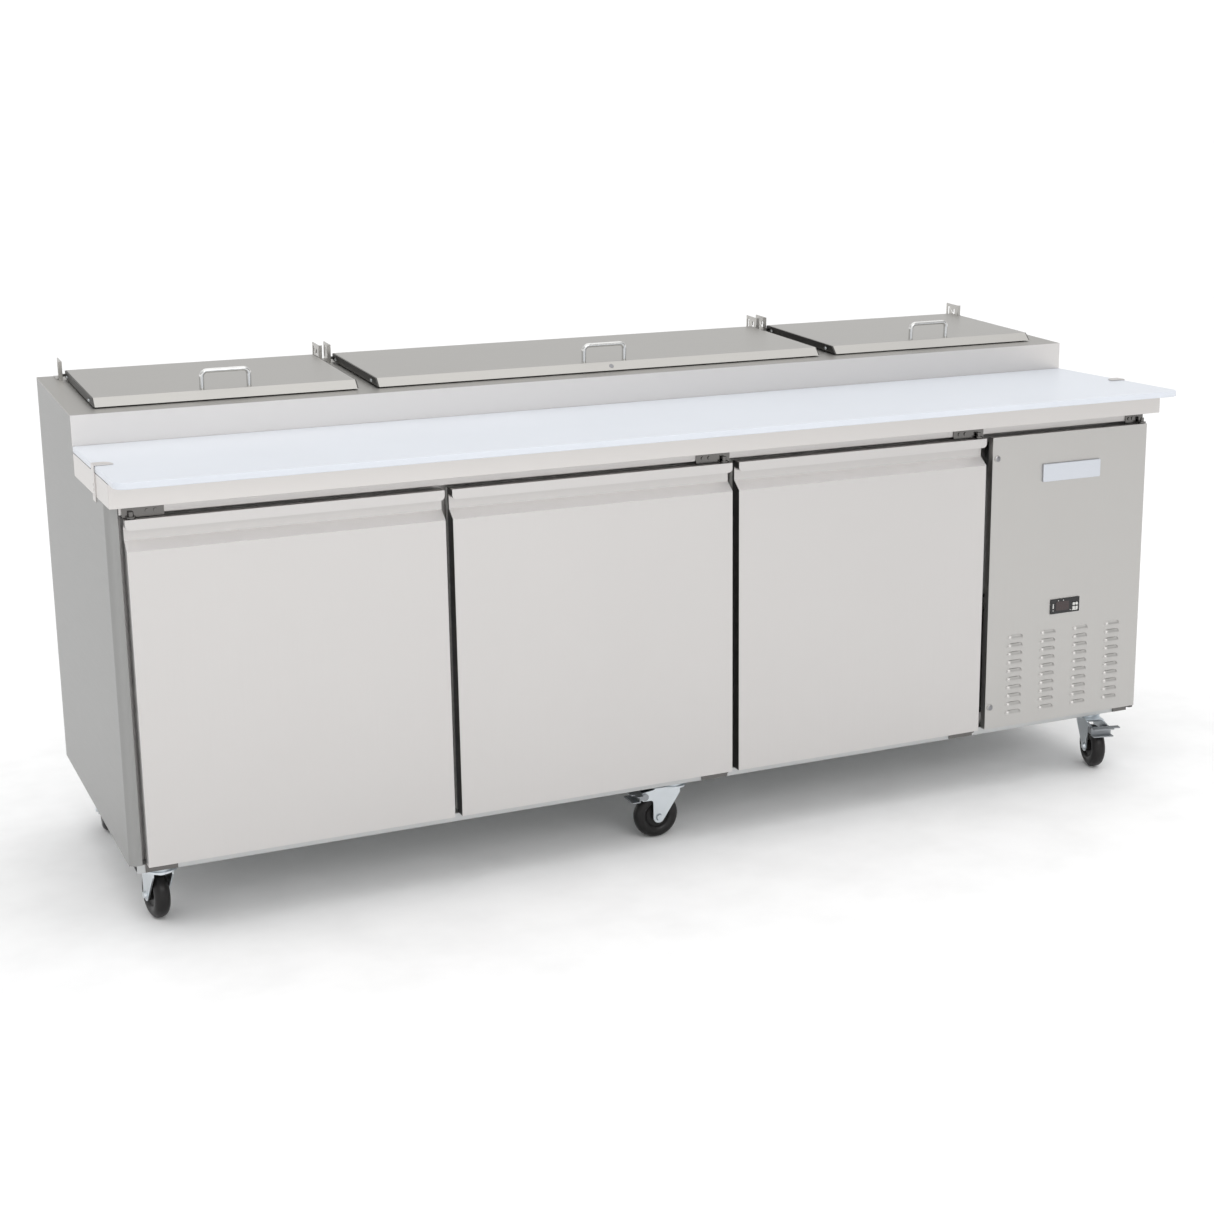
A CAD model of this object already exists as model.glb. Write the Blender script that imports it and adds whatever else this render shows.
"""Looks of a refrigerated prep table: materials, fine detail, light and camera round the CAD model."""
import math

import bmesh
import bpy
from mathutils import Matrix, Vector


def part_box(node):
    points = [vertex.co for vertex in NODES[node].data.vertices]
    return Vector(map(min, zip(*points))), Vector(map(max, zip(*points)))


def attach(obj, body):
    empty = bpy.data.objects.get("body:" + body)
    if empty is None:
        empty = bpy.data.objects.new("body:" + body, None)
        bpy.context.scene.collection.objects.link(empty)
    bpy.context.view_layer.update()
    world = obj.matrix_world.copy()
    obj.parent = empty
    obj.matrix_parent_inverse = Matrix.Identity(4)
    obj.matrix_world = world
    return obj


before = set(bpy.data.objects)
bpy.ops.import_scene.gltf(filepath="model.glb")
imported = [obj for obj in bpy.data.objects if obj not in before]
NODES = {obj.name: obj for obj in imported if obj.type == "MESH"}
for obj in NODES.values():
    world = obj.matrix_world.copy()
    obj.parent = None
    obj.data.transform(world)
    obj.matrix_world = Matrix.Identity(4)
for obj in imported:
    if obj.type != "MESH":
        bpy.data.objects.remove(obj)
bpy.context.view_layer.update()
MM = 0.001
SIDES = ("left", "middle", "right")
SPOTS = [f"{row}_{side}" for row in ("front", "rear") for side in SIDES]


# ---- Camera and light ----

def aim(obj, target):
    """Turns an object's -Z towards a point."""
    obj.rotation_mode = "QUATERNION"
    obj.rotation_quaternion = (Vector(target) - obj.location).to_track_quat("-Z", "Y")


def make_camera():
    """A view from the front left, a little above the cutting board."""
    stand = (-1.7643, -3.9017, 1.5564)
    yaw, pitch, roll = 0.42036, -0.227587, -0.0132485
    ahead = Vector((math.sin(yaw) * math.cos(pitch), math.cos(yaw) * math.cos(pitch), math.sin(pitch)))
    level = Vector((math.cos(yaw), -math.sin(yaw), 0))
    upright = level.cross(ahead)
    right = level * math.cos(roll) + upright * math.sin(roll)
    up = upright * math.cos(roll) - level * math.sin(roll)
    data = bpy.data.cameras.new("camera")
    data.sensor_width = 36
    data.lens = 58.12
    data.shift_x = -0.0062
    data.shift_y = -0.0388
    data.clip_end = 200
    cam = bpy.data.objects.new("camera", data)
    bpy.context.scene.collection.objects.link(cam)
    turn = Matrix((right, up, -ahead)).transposed().to_4x4()
    cam.matrix_world = Matrix.Translation(stand) @ turn
    bpy.context.scene.camera = cam


def softbox(name, place, target, size, power):
    """A wide soft lamp that faces a point."""
    data = bpy.data.lights.new(name, "AREA")
    data.shape = "RECTANGLE"
    data.size, data.size_y = size
    data.energy = power
    light = bpy.data.objects.new(name, data)
    bpy.context.scene.collection.objects.link(light)
    light.location = place
    aim(light, target)


def make_world():
    """Pale surroundings: white at the horizon, dimmer above it and towards the front right, pale overhead."""
    strongest, weakest = 1.6, 0.85
    front_right = (0.8, -0.6, 0)
    fade_start = 0.72
    world = bpy.data.worlds.new("studio")
    bpy.context.scene.world = world
    world.use_nodes = True
    tree = world.node_tree
    background = tree.nodes["Background"]
    coords = tree.nodes.new("ShaderNodeTexCoord")
    split = tree.nodes.new("ShaderNodeSeparateXYZ")
    ramp = tree.nodes.new("ShaderNodeValToRGB")
    tree.links.new(coords.outputs["Generated"], split.inputs[0])
    tree.links.new(split.outputs["Z"], ramp.inputs[0])
    tree.links.new(ramp.outputs[0], background.inputs["Color"])
    stops = ((0.0, 1.0), (0.06, 1.0), (0.14, 0.48), (0.5, 0.48), (0.9, 0.95))
    elements = ramp.color_ramp.elements
    while len(elements) < len(stops):
        elements.new(0.5)
    for element, (position, value) in zip(elements, stops):
        element.position = position
        element.color = (value, value, value, 1)
    dimmer = tree.nodes.new("ShaderNodeVectorMath")
    dimmer.operation = "DOT_PRODUCT"
    dimmer.inputs[1].default_value = front_right
    tree.links.new(coords.outputs["Generated"], dimmer.inputs[0])
    strength = remap(tree, dimmer.outputs["Value"], strongest, weakest)
    strength.node.inputs["From Min"].default_value = fade_start
    tree.links.new(strength, background.inputs["Strength"])


def make_floor():
    """A wide sheet of white paper, just below the wheels."""
    reach = 60
    corners = [(-reach, -reach, 0), (reach, -reach, 0), (reach, reach, 0), (-reach, reach, 0)]
    mesh = bpy.data.meshes.new("floor")
    mesh.from_pydata(corners, [], [(0, 1, 2, 3)])
    floor = bpy.data.objects.new("floor", mesh)
    bpy.context.scene.collection.objects.link(floor)
    floor.location.z = -0.5 * MM
    paper = plain_material("floor_paper", (0.93, 0.93, 0.93), roughness=0.9, grain=0.01, grain_size=0.02)
    mesh.materials.append(paper)


# ---- Materials ----

def start_material(name):
    """A new material, with its node tree and its shader."""
    material = bpy.data.materials.new(name)
    material.use_nodes = True
    return material, material.node_tree, material.node_tree.nodes["Principled BSDF"]


def stretched_noise(tree, stretch, scale, detail=3.0, roughness=0.6):
    """Noise in object coordinates, drawn out along the axes with a small stretch."""
    coords = tree.nodes.new("ShaderNodeTexCoord")
    mapping = tree.nodes.new("ShaderNodeMapping")
    mapping.inputs["Scale"].default_value = stretch
    noise = tree.nodes.new("ShaderNodeTexNoise")
    noise.inputs["Scale"].default_value = scale
    noise.inputs["Detail"].default_value = detail
    noise.inputs["Roughness"].default_value = roughness
    tree.links.new(coords.outputs["Object"], mapping.inputs["Vector"])
    tree.links.new(mapping.outputs[0], noise.inputs["Vector"])
    return noise.outputs["Fac"]


def remap(tree, value, low, high):
    """Stretches a value from 0 to 1 into the range from low to high."""
    node = tree.nodes.new("ShaderNodeMapRange")
    node.inputs["To Min"].default_value = low
    node.inputs["To Max"].default_value = high
    tree.links.new(value, node.inputs["Value"])
    return node.outputs["Result"]


def tint(tree, value, low, high):
    """Colour ramp between two colours."""
    ramp = tree.nodes.new("ShaderNodeValToRGB")
    ramp.color_ramp.elements[0].position = 0.3
    ramp.color_ramp.elements[1].position = 0.7
    ramp.color_ramp.elements[0].color = (*low, 1)
    ramp.color_ramp.elements[1].color = (*high, 1)
    tree.links.new(value, ramp.inputs[0])
    return ramp.outputs[0]


def bump(tree, shader, height, strength, distance):
    """Gives a shader a relief of a height."""
    node = tree.nodes.new("ShaderNodeBump")
    node.inputs["Strength"].default_value = strength
    node.inputs["Distance"].default_value = distance
    tree.links.new(height, node.inputs["Height"])
    tree.links.new(node.outputs[0], shader.inputs["Normal"])


def shades(colour, spread):
    """A darker and a lighter shade of a colour."""
    return [tuple(c * f for c in colour) for f in (1 - spread, 1 + spread)]


def brushed_steel(name, colour, along, roughness=0.34, spread=0.035, streak=0.12):
    """Brushed stainless sheet: fine scratches along one axis, and broad faint clouds."""
    material, tree, shader = start_material(name)
    fine = [900.0, 900.0, 900.0]
    fine["XYZ".index(along)] = 9.0
    scratches = stretched_noise(tree, fine, 1.0, detail=2.0)
    clouds = stretched_noise(tree, (1, 1, 1), 2.3, detail=2.0)
    both = tree.nodes.new("ShaderNodeMath")
    both.operation = "ADD"
    tree.links.new(scratches, both.inputs[0])
    tree.links.new(clouds, both.inputs[1])
    half = remap(tree, both.outputs[0], 0.0, 0.5)
    tree.links.new(tint(tree, half, *shades(colour, spread)), shader.inputs["Base Color"])
    tree.links.new(remap(tree, scratches, roughness - 0.06, roughness + 0.08), shader.inputs["Roughness"])
    shader.inputs["Metallic"].default_value = 1.0
    bump(tree, shader, scratches, streak, 0.0004)
    return material


def plain_material(name, colour, roughness=0.5, metallic=0.0, grain=0.04, grain_size=0.002,
                   spread=0.03, coat=0.0, specular=0.5):
    """Moulded, painted or plated surface: fine grain, with colour and gloss that drift a little."""
    material, tree, shader = start_material(name)
    texture = stretched_noise(tree, (1, 1, 1), 1 / grain_size, detail=2.0)
    clouds = stretched_noise(tree, (1, 1, 1), 6.0, detail=3.0)
    tree.links.new(tint(tree, clouds, *shades(colour, spread)), shader.inputs["Base Color"])
    tree.links.new(remap(tree, clouds, roughness * 0.92, roughness * 1.08), shader.inputs["Roughness"])
    shader.inputs["Metallic"].default_value = metallic
    shader.inputs["Coat Weight"].default_value = coat
    shader.inputs["Specular IOR Level"].default_value = specular
    bump(tree, shader, texture, grain, 0.0005)
    return material


STEEL_FRONT = brushed_steel("steel_front", (0.60, 0.585, 0.575), "Z", roughness=0.46, spread=0.02)
STEEL_GRIP = brushed_steel("steel_grip", (0.98, 0.965, 0.955), "X", roughness=0.58, spread=0.02)
STEEL_SIDE = brushed_steel("steel_side", (0.31, 0.31, 0.305), "Y", roughness=0.4, spread=0.03)
STEEL_EDGE = brushed_steel("steel_edge", (0.80, 0.79, 0.78), "Z", roughness=0.5, spread=0.02)
STEEL_TOP = brushed_steel("steel_top", (0.46, 0.45, 0.43), "X", roughness=0.36, spread=0.02)
STEEL_DECK = brushed_steel("steel_deck", (0.42, 0.41, 0.39), "X", roughness=0.4, spread=0.02)
STEEL_RISER = brushed_steel("steel_riser", (0.675, 0.66, 0.65), "X", roughness=0.4, spread=0.015)
STEEL_RECESS = brushed_steel("steel_recess", (0.54, 0.525, 0.515), "X", roughness=0.4, spread=0.02)
STEEL_PANEL = brushed_steel("steel_panel", (0.505, 0.495, 0.48), "Z", roughness=0.42, spread=0.02)
STEEL_LOUVRE = brushed_steel("steel_louvre", (0.475, 0.465, 0.45), "X", roughness=0.4, spread=0.02)
STEEL_LIP = brushed_steel("steel_lip", (0.62, 0.60, 0.585), "X", roughness=0.34, spread=0.015)
STEEL_POLISHED = brushed_steel("steel_polished", (0.15, 0.145, 0.14), "X", roughness=0.18, spread=0.06)
STEEL_SHADED = brushed_steel("steel_shaded", (0.12, 0.117, 0.114), "Z", roughness=0.4)
STEEL_DARK = brushed_steel("steel_dark", (0.09, 0.088, 0.085), "Y", roughness=0.4)
STEEL_PAN = brushed_steel("steel_pan", (0.62, 0.62, 0.61), "Z", roughness=0.25)
BADGE = brushed_steel("badge_silver", (0.62, 0.645, 0.69), "X", roughness=0.36, spread=0.02)
SCREW = plain_material("screw_head", (0.26, 0.26, 0.27),
                       roughness=0.35, metallic=1.0, grain=0.05, grain_size=0.002)
ROD = plain_material("bright_rod", (0.62, 0.62, 0.61),
                     roughness=0.18, metallic=1.0, grain=0.02, grain_size=0.001)
ZINC = plain_material("zinc_plate", (0.66, 0.70, 0.73),
                      roughness=0.3, metallic=1.0, grain=0.06, grain_size=0.004, spread=0.08)
GALVANISED = plain_material("galvanised", (0.50, 0.51, 0.51),
                            roughness=0.45, metallic=1.0, grain=0.08, grain_size=0.01, spread=0.03)
LINER = plain_material("liner_sheet", (0.78, 0.78, 0.76), roughness=0.35, grain=0.05, grain_size=0.006)
WIRE = plain_material("wire_coating", (0.80, 0.80, 0.78), roughness=0.3, grain=0.03)
COIL = plain_material("coil_metal", (0.60, 0.58, 0.55),
                      roughness=0.35, metallic=1.0, grain=0.1, grain_size=0.001)
BLACK_PAINT = plain_material("black_paint", (0.012, 0.012, 0.012),
                             roughness=0.35, grain=0.08, grain_size=0.003, coat=0.2)
BLACK_PLASTIC = plain_material("black_plastic", (0.010, 0.010, 0.011),
                               roughness=0.22, grain=0.02, grain_size=0.0008)
BUTTON = plain_material("button_plastic", (0.62, 0.62, 0.60), roughness=0.4, grain=0.03, grain_size=0.0006)
DISPLAY = plain_material("display_window", (0.018, 0.004, 0.004),
                         roughness=0.12, grain=0.01, grain_size=0.002, coat=0.5)
RUBBER = plain_material("gasket_rubber", (0.020, 0.019, 0.018), roughness=0.7, grain=0.15, grain_size=0.001)
BOARD = plain_material("board_plastic", (0.64, 0.67, 0.72),
                       roughness=0.38, grain=0.12, grain_size=0.0012, spread=0.012)
TREAD = plain_material("wheel_tread", (0.014, 0.013, 0.013), roughness=0.32, grain=0.1, grain_size=0.002,
                       spread=0.2, specular=0.25)
PEDAL = plain_material("pedal_steel", (0.30, 0.315, 0.33),
                       roughness=0.4, metallic=0.8, grain=0.08, grain_size=0.002)

NODE_MATERIALS = {
    "base_frame": GALVANISED, "caster_plates": ZINC, "back_panel": GALVANISED,
    "left_side_panel": STEEL_SIDE, "right_side_panel": STEEL_SIDE,
    "front_frame": STEEL_FRONT, "inner_liner": LINER, "work_shelf": STEEL_LIP,
    "rail_housing": STEEL_DECK, "rail_well": STEEL_PAN, "food_pans": STEEL_PAN, "board_clips": STEEL_LIP,
    "door_hinge_brackets": STEEL_POLISHED, "lid_hinge_brackets": STEEL_TOP, "wire_shelves": WIRE,
    "compressor": BLACK_PAINT, "condenser": COIL, "evaporator": COIL,
    "condenser_fan": BLACK_PLASTIC, "evaporator_fan": BLACK_PLASTIC,
    "cutting_board": BOARD, "service_panel": STEEL_PANEL, "badge_plate": BADGE,
    "temperature_controller": BLACK_PLASTIC,
}
for side in SIDES:
    NODE_MATERIALS["lid_" + side] = STEEL_TOP
    NODE_MATERIALS["lid_handle_" + side] = ROD
    NODE_MATERIALS["lid_ends_" + side] = STEEL_DARK
    NODE_MATERIALS["door_skin_" + side] = STEEL_FRONT
    NODE_MATERIALS["door_liner_" + side] = LINER
    NODE_MATERIALS["door_gasket_" + side] = RUBBER
for spot in SPOTS:
    NODE_MATERIALS["caster_fork_" + spot] = ZINC
    NODE_MATERIALS["caster_wheel_" + spot] = TREAD
for name in NODES:
    if name.startswith("brake_pedal"):
        NODE_MATERIALS[name] = PEDAL
    if name.startswith("button"):
        NODE_MATERIALS[name] = BUTTON


def dress(node, material):
    """Gives a CAD node its material and smooths its round faces, leaving its folds sharp."""
    mesh = NODES[node].data
    mesh.materials.clear()
    mesh.materials.append(material)
    for face in mesh.polygons:
        face.use_smooth = True
    mesh.set_sharp_from_angle(angle=math.radians(32))


def soften(node, width):
    """Rounds a CAD node's sharp edges a little, as a folded or moulded edge is."""
    weld = NODES[node].modifiers.new("weld", "WELD")
    weld.merge_threshold = 0.01 * MM
    flat = NODES[node].modifiers.new("flat", "DECIMATE")
    flat.decimate_type = "DISSOLVE"
    flat.angle_limit = math.radians(0.5)
    flat.delimit = {"MATERIAL"}
    bevel = NODES[node].modifiers.new("edges", "BEVEL")
    bevel.width = width
    bevel.segments = 2
    bevel.limit_method = "ANGLE"
    bevel.angle_limit = math.radians(35)
    bevel.use_clamp_overlap = True
    normals = NODES[node].modifiers.new("normals", "WEIGHTED_NORMAL")
    normals.weight = 100
    normals.keep_sharp = False


def repaint(node, material, chosen):
    """Gives another material to the faces of a CAD node for which chosen(face) is true."""
    mesh = NODES[node].data
    mesh.materials.append(material)
    for face in mesh.polygons:
        if chosen(face):
            face.material_index = len(mesh.materials) - 1


def on_screw(face, places, keep):
    """True for a small face of a screw head at one of the places, compared in the axes kept."""
    centre = [face.center[k] for k in keep]
    return face.area < SCREW_AREA and any(math.dist(centre, place) < SCREW_REACH for place in places)


# Radius in millimetres of each softened node's edges
EDGE_WIDTHS = {
    "left_side_panel": 0.8, "right_side_panel": 0.8, "rail_housing": 0.8, "front_frame": 0.8,
    "work_shelf": 0.9, "cutting_board": 2.0, "badge_plate": 1.2, "temperature_controller": 1.0,
    "base_frame": 0.8, "board_clips": 0.5, "wire_shelves": 1.2,
}
for side in SIDES:
    EDGE_WIDTHS["lid_" + side] = 0.9
    EDGE_WIDTHS["lid_ends_" + side] = 0.6
    EDGE_WIDTHS["door_skin_" + side] = 0.9
    EDGE_WIDTHS["door_gasket_" + side] = 2.0

for node, material in NODE_MATERIALS.items():
    dress(node, material)
for node, width in EDGE_WIDTHS.items():
    soften(node, width * MM)

# Where screws are: X and Z on the service panel, Y and Z on the lids' ends
PANEL_SCREWS = [(766 * MM, 204.5 * MM), (766 * MM, 781.3 * MM)]
LID_SCREWS = [(103 * MM, 991 * MM), (368 * MM, 1006 * MM)]
SCREW_REACH = 6 * MM
SCREW_AREA = 100 * MM * MM
LOUVRE_TOP = 370 * MM
GRIP_DEPTH = 15 * MM

repaint("rail_housing", STEEL_RISER, lambda face: face.normal.y < -0.7)
repaint("service_panel", STEEL_LOUVRE, lambda face: face.normal.z > 0.2 and face.center.z < LOUVRE_TOP)
repaint("service_panel", SCREW, lambda face: on_screw(face, PANEL_SCREWS, (0, 2)))
DOOR_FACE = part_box("door_skin_left")[0].y
for side in SIDES:
    door = "door_skin_" + side
    repaint(door, STEEL_GRIP, lambda face: face.normal.z > 0.5 and face.normal.y < -0.4)
    repaint(door, STEEL_RECESS, lambda face: face.normal.y < -0.9 and face.center.y > DOOR_FACE + GRIP_DEPTH)
    repaint(door, STEEL_SHADED, lambda face: abs(face.normal.x) > 0.9)
    repaint("lid_ends_" + side, ZINC, lambda face: on_screw(face, LID_SCREWS, (1, 2)))
repaint("door_skin_left", STEEL_EDGE, lambda face: face.normal.x < -0.9)


# ---- Fine detail the CAD model leaves out ----

def make_piece(name, shape, material, body):
    """Turns a bmesh into an object that moves with a CAD body."""
    mesh = bpy.data.meshes.new(name)
    shape.to_mesh(mesh)
    shape.free()
    mesh.materials.append(material)
    for face in mesh.polygons:
        face.use_smooth = True
    mesh.set_sharp_from_angle(angle=math.radians(40))
    piece = bpy.data.objects.new(name, mesh)
    bpy.context.scene.collection.objects.link(piece)
    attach(piece, body)


def add_block(shape, low, high, radius):
    """Adds a box to a bmesh with its edges along Y rounded."""
    made = bmesh.ops.create_cube(shape, size=1.0)
    for vert in made["verts"]:
        vert.co = Vector(l + (h - l) * (c + 0.5) for l, h, c in zip(low, high, vert.co))
    edges = {edge for vert in made["verts"] for edge in vert.link_edges}
    along_y = [edge for edge in edges if abs(edge.verts[0].co.y - edge.verts[1].co.y) > 1e-6]
    bmesh.ops.bevel(shape, geom=along_y, offset=radius, segments=4, affect="EDGES", profile=0.5)


def add_plate(shape, corner, near, far, height, radius):
    """Adds a thin plate to a front face; near and far are X and Z in millimetres from the face's corner."""
    low = (corner.x + near[0] * MM, corner.y - height * MM, corner.z + near[1] * MM)
    high = (corner.x + far[0] * MM, corner.y, corner.z + far[1] * MM)
    add_block(shape, low, high, radius * MM)


def detail_controller():
    """The dark display window, its unlit indicator lamps and the pale bar under the buttons."""
    low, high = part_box("temperature_controller")
    tall = (high.z - low.z) / MM
    window = bmesh.new()
    add_plate(window, low, (14, 7), (50, tall - 6), 0.5, 2)
    make_piece("controller_window", window, DISPLAY, "panel")
    marks = bmesh.new()
    lamp = 1.1
    for x, z in ((6, 8), (20, 30.5), (34, 30.5), (54, 6)):
        add_plate(marks, low, (x - lamp, z - lamp), (x + lamp, z + lamp), 0.7, 0.9)
    add_plate(marks, low, (59, 4), (75, 6.4), 0.4, 0.6)
    add_plate(marks, low, (5, 13), (7.5, 24), 0.4, 0.6)
    make_piece("controller_marks", marks, BUTTON, "panel")


def detail_lid_rivet():
    """The low rivet in the middle lid's front flange, just right of the handle."""
    mesh = NODES["lid_middle"].data
    flange = max((face for face in mesh.polygons if face.normal.y < -0.5), key=lambda face: face.area)
    corners = sorted((mesh.vertices[v].co for v in flange.vertices), key=lambda co: co.z)
    down, beside, radius = 0.5, 8 * MM, 6 * MM
    place = corners[-1].lerp(corners[0], down)
    low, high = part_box("lid_handle_middle")
    place.x = (low.x + high.x) / 2 + beside
    rivet = bmesh.new()
    bmesh.ops.create_cone(rivet, cap_ends=True, segments=32, radius1=radius, radius2=radius - MM, depth=MM)
    turn = flange.normal.to_track_quat("Z", "Y").to_matrix().to_4x4()
    bmesh.ops.transform(rivet, matrix=Matrix.Translation(place) @ turn, verts=rivet.verts)
    make_piece("lid_rivet", rivet, SCREW, "lid_middle_body")


detail_controller()
detail_lid_rivet()

make_camera()
make_world()
make_floor()
softbox("key", (0.1, -5.4, 3.4), (0.0, 0, 0.5), (4.0, 2.0), 72)

scene = bpy.context.scene
scene.view_settings.view_transform = "Standard"
scene.view_settings.look = "None"
